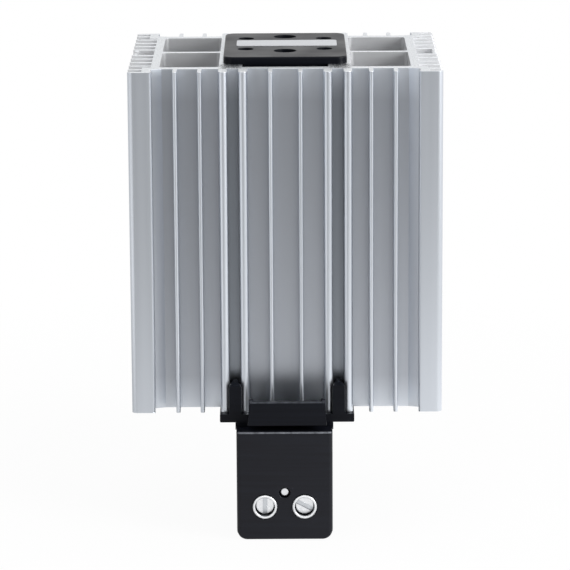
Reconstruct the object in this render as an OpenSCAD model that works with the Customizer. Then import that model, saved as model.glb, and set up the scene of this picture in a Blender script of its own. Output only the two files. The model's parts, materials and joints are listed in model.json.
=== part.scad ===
// Enclosure heater: a finned aluminium profile with a heating element in its core,
// a moulded cap on top, a terminal box below and a clip for a 35 mm rail at the back.
// Millimetres, +Z up, front towards -Y. The origin is the middle of the rail seat.

/* [Heat sink] */
// Width of the profile across its side fins
profile_w = 90; // [88:1:100]
// Depth of the profile across its front and back fins
profile_d = 75; // [74:1:90]
// Length that the profile is sawn to
profile_l = 100; // [90:5:200]
// How far the front and back fins stand out
fin_reach = 6.5; // [5.5:0.5:7]
// How far the side fins stand out
side_fin_reach = 6.4; // [5.8:0.2:7]
// Thickness of a plain fin
fin_t = 1.2; // [1:0.1:1.5]
// Thickness of the two fins beside each groove
rail_fin_t = 2.5; // [2.2:0.1:2.7]
// Width of the grooves that take the prongs and the clip screws
groove_w = 3.2; // [3.1:0.1:3.6]
// Distance of the two middle fins from the centre line
centre_fin_x = 4.3; // [3.5:0.1:5]
// Pitch of the plain fins between a groove and the corner
outer_fin_pitch = 7.05; // [6.5:0.05:7.4]
// Pitch of the plain fins along the sides
side_fin_pitch = 6.6; // [6:0.1:7]
// Thickness of the front and back walls
wall_t = 3; // [2.5:0.1:3.5]
// Thickness of the side walls
side_wall_t = 2.5; // [2:0.1:3]
// Thickness of the webs that part the air ducts
web_t = 2; // [1.5:0.1:2.5]
// Inside width of the middle chamber
chamber_w = 33.2; // [32.6:0.1:34]
// Inside width of the nut slot in each side
nut_slot_w = 9.2; // [8:0.1:10]
// Width of the mouth of the nut slot
nut_mouth_w = 3.4; // [3:0.1:4]

/* [Heating core] */
// Width of the slot that holds the heating stack
slot_w = 26; // [25.6:0.1:26.5]
// Depth of the slot that holds the heating stack
slot_d = 6; // [5.8:0.1:6.5]
// Thickness of one ceramic heating stone
stone_t = 2.5; // [2:0.1:2.6]
// Width of one ceramic heating stone
stone_w = 22; // [18:0.5:22.5]
// Thickness of an electrode plate
electrode_t = 1; // [0.8:0.1:1.1]
// Diameter of a heater lead
lead_d = 2.4; // [2:0.1:2.6]

/* [Top cap] */
// Width of the cap plate
cap_w = 35.7; // [35:0.1:36.5]
// Depth of the cap plate
cap_d = 47; // [46:0.5:48]
// Thickness of the cap plate
cap_t = 2.1; // [1.8:0.1:3]
// Diameter of the four outer holes
outer_hole_d = 4.6; // [3.5:0.1:5]
// Diameter of the two middle holes
middle_hole_d = 6.6; // [5:0.1:7]
// Length of the plain label strip
label_w = 29.5; // [20:0.5:31]
// Depth of the plain label strip
label_d = 11; // [8:0.5:11.5]

/* [Terminal base] */
// Width of the base flange
flange_w = 39; // [38:0.2:40]
// Thickness of the base flange
flange_t = 2.4; // [1.8:0.1:2.5]
// How far the flange stands out in front of the fins
flange_overhang = 2; // [1.8:0.1:2.4]
// Height of the prongs above the flange
prong_h = 9.2; // [7:0.2:12]
// Width of the lip of the hood, at its top
lip_w = 21.4; // [18:0.2:22]
// Height of the lip of the hood above the flange
lip_h = 5.4; // [4:0.1:7]

/* [Terminal box] */
// Width of the terminal box
box_w = 27.8; // [27.6:0.2:30]
// How far the box hangs below the profile
box_drop = 35.9; // [35:0.1:40]
// How far the box stands out in front of the fins
box_front = 8.5; // [7.3:0.1:9]
// How far the box sits off the middle, to the right
box_shift = -0.8; // [-1:0.1:1]
// Depth of the box from front to back
box_depth = 26; // [25:0.5:30]
// Wall thickness of the box
box_wall = 2; // [1.6:0.1:2.2]
// Diameter of each cable entry in the floor of the box
cable_hole_d = 5; // [4.4:0.1:5.4]

/* [Terminals] */
// Distance between the two terminal screws
terminal_pitch = 11.5; // [11:0.1:12]
// How far the terminal screws lie below the profile
terminal_drop = 26; // [25.8:0.1:26.8]
// Diameter of a terminal screw
screw_d = 3; // [2.5:0.1:3.2]
// Diameter of a terminal screw head
screw_head_d = 5.4; // [5:0.1:5.8]
// Outer diameter of a cup washer
washer_d = 7; // [6.6:0.1:7.3]
// Diameter of the wire hole in a clamp
wire_hole_d = 3.2; // [2.6:0.1:3.4]

/* [Rail clip] */
// Height of the rail that the clip grips
rail_h = 35; // [35:0.5:36]
// Thickness of the rail sheet
rail_t = 1; // [0.9:0.1:1.3]
// Width of the clip
clip_w = 40; // [38:1:44]
// Thickness of the clip sheet
clip_t = 1.5; // [1.2:0.1:2]

/* [Hidden] */
$fn = 48;

// Small overlap that joins two solids of one piece
join = 0.4;
// Gap between pieces that slide together
play = 0.1;

// Profile section, from its middle
half_w = profile_w / 2;
half_d = profile_d / 2;
face_y = half_d - fin_reach;
inner_y = face_y - wall_t;
side_x = half_w - side_fin_reach;
duct_x = side_x - side_wall_t;
duct_r = 1.2;
chamber_x = chamber_w / 2;
core_x = chamber_x + rail_fin_t;
groove_x = chamber_x - groove_w / 2;
inner_rail_x = chamber_x - groove_w - rail_fin_t / 2;
outer_rail_x = chamber_x + rail_fin_t / 2;
outer_fin_count = floor((side_x - core_x) / outer_fin_pitch);
end_plate_t = 1.6;
jaw_t = 1.4;
jaw_lip_t = 1.6;
jaw_y = (nut_slot_w + jaw_t) / 2;
end_plate_y = half_d - end_plate_t / 2;
side_fin_count = floor((end_plate_y - jaw_y) / side_fin_pitch - 0.5);
corner_t = 2.4;
slant_run = 3.2;
slant_rise = 1.2;
boss_w = 4.2;
boss_d = 5.2;
boss_y = inner_y - boss_d;

// Heating stack, counted from the front of its slot
seat_wall_t = 4;
seat_y = slot_d / 2 + seat_wall_t;
film_t = 0.25;
film_gap = 0.3;
film_w = slot_w - 2 * film_gap;
stack_d = 2 * film_t + 2 * electrode_t + stone_t;
stack_y = -slot_d / 2;
front_electrode_y = stack_y + film_t;
stone_y = front_electrode_y + electrode_t;
rear_electrode_y = stone_y + stone_t;
strip_y = stack_y + stack_d;
strip_t = slot_d - stack_d;
electrode_edge = 0.5;
electrode_w = stone_w + 2 * electrode_edge;
stack_margin = 4;
film_margin = 2;
spacer_h = 2;
stone_count = 4;
stone_gap = 1;
stone_z = stack_margin + spacer_h;
stone_pitch = (profile_l - 2 * stone_z + stone_gap) / stone_count;
stone_h = stone_pitch - stone_gap;
tab_w = 3;
tab_z = 1;

// Cap
cap_r = 3;
outer_hole_x = 11.5;
outer_hole_inset = 13.3;
outer_hole_y = cap_d / 2 - outer_hole_inset;
middle_hole_inset = 9.7;
middle_hole_y = cap_d / 2 - middle_hole_inset;
hole_shift = 2.3;
label_shift = 3;
label_aside = 0.5;
label_t = 0.25;
label_sink = 0.15;
label_r = 1;
leg_t = 1.8;
leg_len = 9;
leg_gap = 0.15;
leg_inset = 1;
skirt_t = 1.6;
skirt_inset = 0.7;
skirt_y = cap_d / 2 - skirt_inset - skirt_t;

// Terminal base and box
tip_y = -half_d;
flange_front_y = tip_y - flange_overhang;
prong_w = 4.1;
prong_front_w = 3.5;
prong_depth = 4.5;
prong_shoulder = 8.4;
groove_tongue_w = groove_w - 2 * play;
groove_tongue_drop = 0.2;
box_x = box_w / 2;
box_inner_x = box_x - box_wall;
box_front_y = tip_y - box_front;
box_back_y = box_front_y + box_depth;
cover_depth = 14;
cover_back_y = box_front_y + cover_depth;
cover_top = -3.65;
drop_wall_step = 0.1;
drop_wall_front_y = flange_front_y - drop_wall_step;
drop_wall_t = 1.8;
drop_wall_x = 11.4;
drop_wall_z = -12;
shelf_back_y = drop_wall_front_y - play;
lip_step = 0.2;
lip_front_y = box_front_y - lip_step;
lip_t = 1.5;
lip_foot = -1.7;
lip_spread = 0.7;
hood_floor_t = 1.5;
gusset_x = 11;
gusset_t = 1.3;
gusset_low = 0.8;
gusset_rise = 0.7;
collar_step = 0.3;
collar_x = box_x + collar_step;
collar_z = -4.6;
collar_inset = 0.2;
box_r = 3;
box_front_r = 1.2;
floor_z = box_wall - box_drop;
duct_wall = 1.6;
lead_duct_w = 18;
lead_duct_z = -8;
lead_duct_margin = 2;
lead_duct_end = slot_d / 2 + lead_duct_margin;
tongue_len = 5;
tongue_t = 1;
tongue_h = 10;
tongue_gap = 0.6;

// Terminals
terminal_x = terminal_pitch / 2;
terminal_z = -terminal_drop;
clamp_w = 8;
clamp_h = 9.4;
clamp_seat = 4;
tongue_z = terminal_z + clamp_h / 2 + tongue_gap;
block_gap = 0.4;
block_w = 2 * (box_inner_x - tongue_t - block_gap);
block_top = -19.5;
block_front_y = cover_back_y;
block_back_y = box_back_y - box_wall;
wire_inset = 7.5;
wire_y = box_front_y + wire_inset;
wire_depth = 8;
lead_offset = 5;
lead_y = wire_y + lead_offset;
lead_insert = 3;
lead_bend = 3.5;
lead_run_z = -5;
lead_play = 0.1;
lead_bore_d = lead_d + lead_play;
washer_play = 0.4;
washer_hole_d = washer_d + washer_play;
washer_proud = 0.6;
washer_front_y = box_front_y - washer_proud;
head_recess = 2.2;
head_front_y = washer_front_y + head_recess;
head_h = 1.2;
head_play = 0.3;
head_back_y = head_front_y + head_h;
cup_floor = 0.5;
clamp_front_y = head_back_y + cup_floor;
washer_t = clamp_front_y - washer_front_y;
head_slot_w = 0.9;
head_slot_depth = 0.7;
right_slot_turn = 62;
screw_gap = 0.3;
screw_tip_y = wire_y - wire_hole_d / 2 - screw_gap;
thread_play = 0.05;
pin_d = 2.7;
pin_hole_d = 3.3;
pin_z = -21.9;
pin_recess = 1.3;
pin_seat = 5;

// Rail clip, counted from the rail seat
seat_plane_y = half_d + clip_t;
seat_z = profile_l / 2;
rail_play = 0.2;
hook_z = rail_h / 2 + rail_play;
hook_play = 0.4;
hook_gap = rail_t + hook_play;
upper_lip = 2.7;
lower_lip = 1.5;
lead_in = 1.6;
clip_screw_d = groove_w - 2 * play;
clip_head_d = 6.4;
clip_screw_len = 7;
clip_slot_w = 0.9;
clip_slot_depth = 0.7;

// Colours
aluminium = [0.78, 0.79, 0.81];
black_plastic = [0.09, 0.09, 0.1];
zinc = [0.86, 0.87, 0.88];

// Puts the middle of the rail seat at the origin
module in_frame() {
    translate([0, -seat_plane_y, -seat_z]) children();
}

// Copies a shape to both sides of the middle plane X = 0
module both_sides() {
    for (side = [0, 1])
        mirror([side, 0, 0]) children();
}

// Copies a shape to the front and to the back
module both_faces() {
    for (side = [0, 1])
        mirror([0, side, 0]) children();
}

// Moves a shape to the box, which sits off the middle
module at_box() {
    translate([box_shift, 0, 0]) children();
}

// Extrudes an X-Z outline from y0 to y1
module along_y(y0, y1) {
    translate([0, y1, 0]) rotate([90, 0, 0]) linear_extrude(y1 - y0) children();
}

// Extrudes a Y-Z outline from x0 to x1
module along_x(x0, x1) {
    translate([x0, 0, 0]) rotate([90, 0, 90]) linear_extrude(x1 - x0) children();
}

// A cylinder along +Y that starts at a point
module rod_y(at, d, length) {
    translate(at) rotate([-90, 0, 0]) cylinder(d = d, h = length);
}

// Rectangle with round corners, from corner a to corner b
module round_rect(a, b, r) {
    translate([a.x + r, a.y]) square([b.x - a.x - 2 * r, b.y - a.y]);
    translate([a.x, a.y + r]) square([b.x - a.x, b.y - a.y - 2 * r]);
    for (x = [a.x + r, b.x - r], y = [a.y + r, b.y - r])
        translate([x, y]) circle(r);
}

// Outline of a hanging box: square at the top, round at its lower corners
module hanging_outline(half, top, bottom, r) {
    translate([-half, bottom + r]) square([2 * half, top - bottom - r]);
    translate([-half + r, bottom]) square([2 * (half - r), 2 * r]);
    for (side = [-1, 1])
        translate([side * (half - r), bottom + r]) circle(r);
}

// One fin with a round tip that stands up from y = 0
module fin(t, reach) {
    translate([-t / 2, -join]) square([t, reach + join - t / 2]);
    translate([0, reach - t / 2]) circle(d = t);
}

// Fins of one front quarter: middle fin, the two beside the groove, the plain ones
module front_fins() {
    translate([0, face_y]) {
        translate([centre_fin_x, 0]) fin(fin_t, fin_reach);
        for (x = [inner_rail_x, outer_rail_x])
            translate([x, 0]) fin(rail_fin_t, fin_reach);
        for (i = [1 : outer_fin_count])
            translate([side_x - i * outer_fin_pitch, 0]) fin(fin_t, fin_reach);
    }
}

// Fins of one side quarter: the jaw of the nut slot, the plain ones, the end plate
module side_fins() {
    translate([side_x, 0]) {
        translate([0, jaw_y]) rotate(-90) fin(jaw_t, side_fin_reach);
        for (i = [1 : side_fin_count])
            translate([0, jaw_y + i * side_fin_pitch]) rotate(-90) fin(fin_t, side_fin_reach);
    }
    end_plate();
    translate([half_w - jaw_lip_t, nut_mouth_w / 2])
        square([jaw_lip_t - jaw_t / 2, jaw_y - nut_mouth_w / 2]);
}

// End plate at a corner of the profile, rounded at its outer edge
module end_plate() {
    round_x = half_w - end_plate_t;
    plate_y = half_d - end_plate_t;
    translate([side_x - join, plate_y]) square([round_x - side_x + join, end_plate_t]);
    intersection() {
        translate([round_x, plate_y]) circle(end_plate_t);
        translate([round_x - join, plate_y]) square([end_plate_t + join, end_plate_t]);
    }
}

// Corner block that carries the end plate, with its slanted inner face
module corner_block() {
    polygon([
        [side_x - slant_run, face_y - join],
        [side_x - join, face_y - join],
        [side_x - join, inner_y],
        [side_x + corner_t, inner_y],
        [side_x + corner_t, half_d],
        [side_x, half_d],
        [side_x, face_y + slant_rise],
        [side_x - slant_run, face_y]
    ]);
}

// Half of the middle chamber, with solid bosses in its corners
module chamber_half() {
    translate([-chamber_x, seat_y]) square([chamber_w, boss_y - seat_y]);
    translate([-chamber_x + boss_w, seat_y]) square([chamber_w - 2 * boss_w, inner_y - seat_y]);
}

// Whole section of the extruded profile
module profile_section() {
    difference() {
        union() {
            translate([-side_x, -face_y]) square([2 * side_x, 2 * face_y]);
            both_sides() both_faces() {
                front_fins();
                side_fins();
                corner_block();
            }
        }
        both_sides() both_faces()
            round_rect([core_x, web_t / 2], [duct_x, inner_y], duct_r);
        both_faces() chamber_half();
        square([slot_w, slot_d], center = true);
    }
}

module heat_sink() {
    color(aluminium) linear_extrude(profile_l) profile_section();
}

// The six holes of the cap, four outer and two middle ones
module cap_holes() {
    translate([0, hole_shift]) {
        both_sides() both_faces()
            translate([outer_hole_x, outer_hole_y]) circle(d = outer_hole_d);
        both_faces()
            translate([0, middle_hole_y]) circle(d = middle_hole_d);
    }
}

// Outline of the label strip
module label_outline() {
    translate([label_aside, label_shift])
        round_rect([-label_w / 2, -label_d / 2], [label_w / 2, label_d / 2], label_r);
}

module top_cap() {
    color(black_plastic) {
        difference() {
            translate([0, 0, profile_l]) linear_extrude(cap_t)
                difference() {
                    round_rect([-cap_w / 2, -cap_d / 2], [cap_w / 2, cap_d / 2], cap_r);
                    cap_holes();
                }
            translate([0, 0, profile_l + cap_t - label_sink]) linear_extrude(cap_t) label_outline();
        }
        both_sides() both_faces()
            translate([chamber_x - leg_gap - leg_t, seat_y + leg_inset, profile_l - leg_len])
                cube([leg_t, skirt_y - seat_y - 2 * leg_inset, leg_len + join]);
        both_faces()
            translate([-chamber_x + boss_w + leg_gap, skirt_y, profile_l - leg_len])
                cube([chamber_w - 2 * (boss_w + leg_gap), skirt_t, leg_len + join]);
    }
}

module label_strip() {
    color([0.9, 0.9, 0.9])
        translate([0, 0, profile_l + cap_t - label_sink]) linear_extrude(label_t) label_outline();
}

module ptc_stone(index) {
    color([0.55, 0.53, 0.5])
        translate([-stone_w / 2, stone_y, stone_z + (index - 1) * stone_pitch])
            cube([stone_w, stone_t, stone_h]);
}

// Ceramic spacer at one end of the row of stones
module spacer(z) {
    color("ivory") translate([-stone_w / 2, stone_y, z]) cube([stone_w, stone_t, spacer_h]);
}

module upper_spacer() {
    spacer(profile_l - stack_margin - spacer_h);
}

module lower_spacer() {
    spacer(stack_margin);
}

// Electrode plate with a tab below for its lead
module electrode(y, side) {
    color("silver") {
        translate([-electrode_w / 2, y, stack_margin])
            cube([electrode_w, electrode_t, profile_l - 2 * stack_margin]);
        translate([side * terminal_x + box_shift - tab_w / 2, y, tab_z])
            cube([tab_w, electrode_t, stack_margin - tab_z + join]);
    }
}

module front_electrode() {
    electrode(front_electrode_y, -1);
}

module rear_electrode() {
    electrode(rear_electrode_y, 1);
}

module insulating_sleeve() {
    color([0.75, 0.5, 0.15]) translate([0, stack_y + stack_d / 2, film_margin])
        linear_extrude(profile_l - 2 * film_margin)
            difference() {
                square([film_w, stack_d], center = true);
                square([film_w - 2 * film_t, stack_d - 2 * film_t], center = true);
            }
}

module clamping_strip() {
    color(aluminium) translate([-electrode_w / 2, strip_y, stack_margin])
        cube([electrode_w, strip_t, profile_l - 2 * stack_margin]);
}

// Quarter bend of a lead in the Y-Z plane, from a start angle measured from +Y
module lead_elbow(y, z, start) {
    translate([0, y, z]) rotate([90, 0, 90]) rotate([0, 0, start])
        rotate_extrude(angle = 90) translate([lead_bend, 0]) circle(d = lead_d);
}

// Lead from an electrode tab, forward through the base and down into a clamp
module lead(side, y_top) {
    end_z = terminal_z + clamp_h / 2 - lead_insert;
    translate([side * terminal_x + box_shift, 0, 0]) {
        translate([0, y_top, lead_run_z + lead_bend])
            cylinder(d = lead_d, h = tab_z - lead_run_z - lead_bend);
        lead_elbow(y_top - lead_bend, lead_run_z + lead_bend, -90);
        rod_y([0, lead_y + lead_bend, lead_run_z], lead_d, y_top - lead_y - 2 * lead_bend);
        lead_elbow(lead_y + lead_bend, lead_run_z - lead_bend, 90);
        translate([0, lead_y, end_z])
            cylinder(d = lead_d, h = lead_run_z - lead_bend - end_z);
    }
}

module live_lead() {
    color([0.75, 0.2, 0.15]) lead(-1, front_electrode_y + lead_d / 2);
}

module neutral_lead() {
    color([0.75, 0.2, 0.15]) lead(1, rear_electrode_y + electrode_t - lead_d / 2);
}

// Rounded upright: square at its foot and round on top, in X and Z
module arch(w, h) {
    translate([groove_x - w / 2, -join]) square([w, h + join - w / 2]);
    translate([groove_x, h - w / 2]) circle(d = w);
}

// Prong that stands in front of a groove
module prong() {
    intersection() {
        translate([0, 0, -join]) linear_extrude(prong_h + join)
            polygon([
                [groove_x - prong_front_w / 2, flange_front_y],
                [groove_x + prong_front_w / 2, flange_front_y],
                [groove_x + prong_w / 2, tip_y - play],
                [groove_x - prong_w / 2, tip_y - play]
            ]);
        along_x(0, half_w) polygon([
            [flange_front_y, -join],
            [0, -join],
            [0, prong_h],
            [tip_y, prong_h],
            [flange_front_y, prong_shoulder]
        ]);
        along_y(flange_front_y, 0) arch(prong_w, prong_h);
    }
}

// Tongue inside a groove, from y0 to y1
module groove_tongue(y0, y1) {
    along_y(y0, y1) arch(groove_tongue_w, prong_h - groove_tongue_drop);
}

// Collar under the flange that closes the sides of the box above the cover
module collar() {
    front_y = flange_front_y + collar_inset;
    translate([-collar_x, front_y, collar_z])
        cube([2 * collar_x, cover_back_y + join - front_y, -collar_z - flange_t + join]);
}

// Wall that hangs from the flange and closes the box behind the shelf of the cover
module drop_wall() {
    translate([-drop_wall_x, drop_wall_front_y, drop_wall_z])
        cube([2 * drop_wall_x, drop_wall_t, -drop_wall_z - flange_t + join]);
}

// Hood in front of the middle fins: floor, upright lip and a gusset at each end
module hood() {
    top = lip_w / 2;
    foot = top + lip_spread;
    lip_back_y = lip_front_y + lip_t;
    gusset_top = lip_h + gusset_rise;
    translate([-gusset_x, lip_front_y, lip_foot])
        cube([2 * gusset_x, flange_front_y + join - lip_front_y, hood_floor_t]);
    along_y(lip_front_y, lip_back_y)
        polygon([[-foot, lip_foot], [foot, lip_foot], [top, lip_h], [-top, lip_h]]);
    both_sides() along_x(gusset_x - gusset_t, gusset_x)
        polygon([
            [lip_front_y + join, lip_foot],
            [flange_front_y + join, lip_foot],
            [flange_front_y + join, gusset_low],
            [lip_back_y, gusset_top],
            [lip_front_y + join, gusset_top]
        ]);
}

// Back half of the box with the lead duct behind it
module back_box() {
    along_y(cover_back_y, box_back_y)
        hanging_outline(box_x, -flange_t + join, -box_drop, box_r);
    translate([-lead_duct_w / 2 - duct_wall, box_back_y - join, lead_duct_z])
        cube([lead_duct_w + 2 * duct_wall, lead_duct_end + duct_wall - box_back_y + join,
            -lead_duct_z - flange_t + join]);
}

// Hollow of the back half of the box and of the lead duct
module back_box_hollow() {
    along_y(tip_y, box_back_y - box_wall)
        hanging_outline(box_inner_x, -flange_t, floor_z, box_r - box_wall);
    translate([-lead_duct_w / 2, box_back_y - box_wall - join, lead_duct_z + duct_wall])
        cube([lead_duct_w, lead_duct_end - box_back_y + box_wall + join,
            -lead_duct_z - duct_wall - flange_t]);
    translate([-lead_duct_w / 2, -slot_d / 2, -flange_t - join])
        cube([lead_duct_w, slot_d, flange_t + 2 * join]);
}

module terminal_base() {
    color(black_plastic)
        difference() {
            union() {
                translate([-flange_w / 2, flange_front_y, -flange_t])
                    cube([flange_w, half_d - flange_front_y, flange_t]);
                both_sides() {
                    prong();
                    groove_tongue(tip_y - play - join, tip_y + prong_depth);
                    groove_tongue(half_d - prong_depth, half_d - play);
                }
                hood();
                at_box() {
                    drop_wall();
                    collar();
                    back_box();
                }
            }
            at_box() back_box_hollow();
        }
}

// Snap tongue on each side wall of the cover, inside the back half of the box
module cover_tongues() {
    both_sides() {
        translate([box_inner_x - tongue_t, cover_back_y - tongue_len, tongue_z])
            cube([tongue_t + join, tongue_len, tongue_h]);
        translate([box_inner_x - tongue_t, cover_back_y - join, tongue_z])
            cube([tongue_t - play, tongue_len + join, tongue_h]);
    }
}

module terminal_cover() {
    color(black_plastic) at_box() {
        difference() {
            intersection() {
                along_y(box_front_y, cover_back_y)
                    hanging_outline(box_x, cover_top, -box_drop, box_r);
                translate([0, 0, -box_drop]) linear_extrude(box_drop)
                    round_rect([-box_x, box_front_y], [box_x, cover_back_y + box_front_r], box_front_r);
            }
            along_y(box_front_y + box_wall, cover_back_y + join)
                hanging_outline(box_inner_x, cover_top - box_wall, floor_z, box_r - box_wall);
            along_y(shelf_back_y, cover_back_y + join)
                hanging_outline(box_inner_x, 0, floor_z, box_r - box_wall);
            translate([-box_w, shelf_back_y, collar_z - play])
                cube([2 * box_w, cover_depth, -collar_z]);
            both_sides() {
                rod_y([terminal_x, box_front_y - join, terminal_z], washer_hole_d, box_wall + 2 * join);
                translate([terminal_x, wire_y, -box_drop - join])
                    cylinder(d = cable_hole_d, h = box_wall + 2 * join);
            }
            rod_y([0, box_front_y - join, pin_z], pin_hole_d, box_wall + 2 * join);
        }
        cover_tongues();
    }
}

module terminal_block() {
    color([0.85, 0.85, 0.82]) at_box()
        difference() {
            translate([-block_w / 2, block_front_y, floor_z])
                cube([block_w, block_back_y - block_front_y, block_top - floor_z]);
            both_sides()
                translate([terminal_x - clamp_w / 2 - play, block_front_y - join,
                        terminal_z - clamp_h / 2 - play])
                    cube([clamp_w + 2 * play, clamp_seat + join, clamp_h + 2 * play]);
            rod_y([0, block_front_y - join, pin_z], pin_d + thread_play, pin_seat + join);
        }
}

// Brass clamp: a screw hole from the front, a wire hole from below, a lead hole from above
module clamp(side) {
    color("goldenrod") translate([side * terminal_x + box_shift, 0, terminal_z])
        difference() {
            translate([-clamp_w / 2, clamp_front_y, -clamp_h / 2])
                cube([clamp_w, block_front_y + clamp_seat - clamp_front_y, clamp_h]);
            rod_y([0, clamp_front_y - join, 0], screw_d + thread_play, wire_y - clamp_front_y + join);
            translate([0, wire_y, -clamp_h / 2 - join]) cylinder(d = wire_hole_d, h = wire_depth + join);
            translate([0, lead_y, clamp_h / 2 - lead_insert])
                cylinder(d = lead_bore_d, h = lead_insert + join);
        }
}

module left_clamp() {
    clamp(-1);
}

module right_clamp() {
    clamp(1);
}

module clamp_washers() {
    color(zinc) at_box() both_sides()
        difference() {
            rod_y([terminal_x, washer_front_y, terminal_z], washer_d, washer_t);
            rod_y([terminal_x, washer_front_y - join, terminal_z], screw_d + thread_play,
                washer_t + 2 * join);
            rod_y([terminal_x, washer_front_y - join, terminal_z], screw_head_d + head_play,
                washer_t - cup_floor + join);
        }
}

// Slotted cheese-head screw, its slot turned from upright
module terminal_screw(slot_turn) {
    difference() {
        union() {
            rod_y([0, head_front_y, 0], screw_head_d, head_h);
            rod_y([0, head_back_y - join, 0], screw_d, screw_tip_y - head_back_y + join);
        }
        translate([0, head_front_y, 0]) rotate([0, slot_turn, 0])
            cube([head_slot_w, 2 * head_slot_depth, 2 * screw_head_d], center = true);
    }
}

module terminal_screws() {
    color(zinc) at_box() {
        translate([-terminal_x, 0, terminal_z]) terminal_screw(0);
        translate([terminal_x, 0, terminal_z]) terminal_screw(-right_slot_turn);
    }
}

module cover_pin() {
    pin_front_y = box_front_y + pin_recess;
    color(zinc) at_box() rod_y([0, pin_front_y, pin_z], pin_d, block_front_y + pin_seat - pin_front_y);
}

// Section of the clip in Y and Z, from the rail seat: plate, fixed hook, snap hook
module clip_section() {
    lip_y = hook_gap + clip_t;
    outer_z = hook_z + clip_t;
    translate([-clip_t, -outer_z]) square([clip_t, 2 * outer_z]);
    for (z = [-outer_z, hook_z])
        translate([-clip_t, z]) square([clip_t + lip_y, clip_t]);
    translate([hook_gap, hook_z - upper_lip]) square([clip_t, upper_lip + clip_t]);
    polygon([
        [hook_gap, -outer_z],
        [lip_y, -outer_z - lead_in],
        [lip_y + lead_in, -outer_z - lead_in],
        [hook_gap + clip_t / 2, lower_lip - hook_z],
        [hook_gap, lower_lip - hook_z]
    ]);
}

// Countersunk clip screw, or the hole for it when it has play
module clip_screw_shape(extra) {
    rod_y([groove_x, seat_plane_y - clip_screw_len, seat_z], clip_screw_d + extra, clip_screw_len);
    translate([groove_x, seat_plane_y - clip_t, seat_z]) rotate([-90, 0, 0])
        cylinder(d1 = clip_screw_d + extra, d2 = clip_head_d + extra, h = clip_t);
}

module rail_clip() {
    color(zinc)
        difference() {
            translate([0, seat_plane_y, seat_z]) along_x(-clip_w / 2, clip_w / 2) clip_section();
            both_sides() clip_screw_shape(2 * thread_play);
        }
}

module clip_screws() {
    color(zinc) both_sides()
        difference() {
            clip_screw_shape(0);
            translate([groove_x, seat_plane_y, seat_z])
                cube([clip_slot_w, 2 * clip_slot_depth, 2 * clip_head_d], center = true);
        }
}

in_frame() heat_sink();
in_frame() top_cap();
in_frame() label_strip();
in_frame() ptc_stone(1);  // ptc_stone_1
in_frame() ptc_stone(2);  // ptc_stone_2
in_frame() ptc_stone(3);  // ptc_stone_3
in_frame() ptc_stone(4);  // ptc_stone_4
in_frame() upper_spacer();
in_frame() lower_spacer();
in_frame() front_electrode();
in_frame() rear_electrode();
in_frame() insulating_sleeve();
in_frame() clamping_strip();
in_frame() live_lead();
in_frame() neutral_lead();
in_frame() terminal_base();
in_frame() terminal_cover();
in_frame() terminal_block();
in_frame() left_clamp();
in_frame() right_clamp();
in_frame() clamp_washers();
in_frame() terminal_screws();
in_frame() cover_pin();
in_frame() rail_clip();
in_frame() clip_screws();
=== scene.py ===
"""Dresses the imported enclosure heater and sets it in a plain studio.

The heater is a finned aluminium profile with a moulded cap on top, a terminal box below and a clip for a
mounting rail at the back. Lengths are written in millimetres and turned to metres where a mesh is made.
"""

from __future__ import annotations

import json
import logging
import math
from dataclasses import dataclass
from enum import Enum
from typing import Any, Callable, ClassVar, Iterator

import bpy
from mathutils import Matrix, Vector

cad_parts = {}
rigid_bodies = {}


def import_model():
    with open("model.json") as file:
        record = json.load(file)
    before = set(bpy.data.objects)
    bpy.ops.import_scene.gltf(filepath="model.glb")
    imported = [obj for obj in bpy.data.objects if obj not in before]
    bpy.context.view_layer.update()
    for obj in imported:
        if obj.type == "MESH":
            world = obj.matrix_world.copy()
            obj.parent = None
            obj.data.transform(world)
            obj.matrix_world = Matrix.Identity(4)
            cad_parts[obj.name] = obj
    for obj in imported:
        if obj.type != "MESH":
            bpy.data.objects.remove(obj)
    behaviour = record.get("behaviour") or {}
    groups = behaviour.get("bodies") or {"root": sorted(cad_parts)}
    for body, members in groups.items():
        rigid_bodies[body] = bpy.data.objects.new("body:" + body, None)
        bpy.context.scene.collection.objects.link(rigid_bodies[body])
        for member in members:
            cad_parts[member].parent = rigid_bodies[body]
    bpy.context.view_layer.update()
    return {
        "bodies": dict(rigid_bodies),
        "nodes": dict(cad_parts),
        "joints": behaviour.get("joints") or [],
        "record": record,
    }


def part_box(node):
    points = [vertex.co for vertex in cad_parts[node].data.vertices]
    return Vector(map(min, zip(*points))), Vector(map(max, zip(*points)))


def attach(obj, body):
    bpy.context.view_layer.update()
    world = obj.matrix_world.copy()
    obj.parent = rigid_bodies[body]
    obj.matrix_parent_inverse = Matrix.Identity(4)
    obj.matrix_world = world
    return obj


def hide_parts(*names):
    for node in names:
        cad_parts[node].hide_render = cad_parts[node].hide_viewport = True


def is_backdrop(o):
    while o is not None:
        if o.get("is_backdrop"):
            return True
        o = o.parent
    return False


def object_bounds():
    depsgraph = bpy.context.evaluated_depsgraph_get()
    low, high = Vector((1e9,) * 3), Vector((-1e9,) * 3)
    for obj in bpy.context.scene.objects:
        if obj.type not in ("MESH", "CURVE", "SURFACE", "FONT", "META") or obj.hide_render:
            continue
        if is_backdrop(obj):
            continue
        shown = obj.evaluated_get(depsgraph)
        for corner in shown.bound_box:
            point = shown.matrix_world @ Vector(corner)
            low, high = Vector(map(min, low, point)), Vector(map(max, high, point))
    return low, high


LOG = logging.getLogger("enclosure_heater")
MM = 0.001
PER_MM = 1000.0
BODY = "root"
WHITE = (1.0, 1.0, 1.0, 1.0)
QUARTER_TURN = math.pi / 2

# The sRGB curve: straight up to its knee, then a power.
SRGB_KNEE = 0.04045
SRGB_SLOPE = 12.92
SRGB_OFFSET = 0.055
SRGB_POWER = 2.4
BYTE_MAX = 255

# Most of an uneven pattern lies between these two strengths.
NOISE_WEAK = 0.3
NOISE_STRONG = 0.7
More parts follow.
